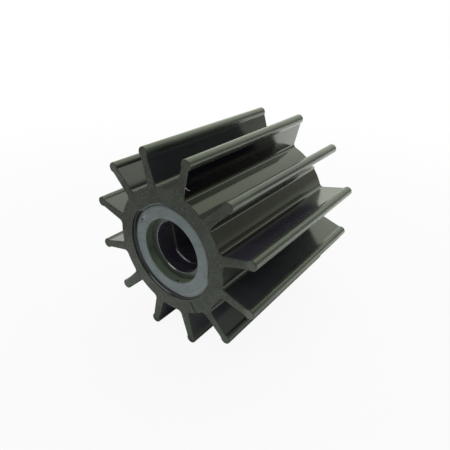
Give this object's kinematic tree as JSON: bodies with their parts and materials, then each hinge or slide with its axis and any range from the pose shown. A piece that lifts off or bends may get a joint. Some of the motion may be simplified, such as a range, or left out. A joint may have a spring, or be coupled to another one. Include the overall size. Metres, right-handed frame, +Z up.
{
  "type": "rubber pump impeller",
  "caption": "Flexible rubber pump impeller: straight radial vanes with beaded tips on a round hub, moulded on a hard insert with a counterbored, single-flat shaft bore.",
  "frame": {"origin": "on the shaft axis, half way along the width; this is the centre of the bounding box", "axes": "+Y along the shaft axis, away from the pictured end face; +Z up as the impeller lies on two neighbouring vane tips; +X to the right seen from the pictured end"},
  "size_m": [0.092, 0.088, 0.092],
  "materials": {
    "rubber": "moulded black rubber, glossy on the vane sides and valleys, dull and slightly dusty on the end faces",
    "insert": "blue-grey filled composite: faces scuffed pale and matt, counterbore olive, bore nearly black"
  },
  "bodies": {
    "root": {"rubber_body": "rubber", "drive_insert": "insert"}
  },
  "joints": []
}
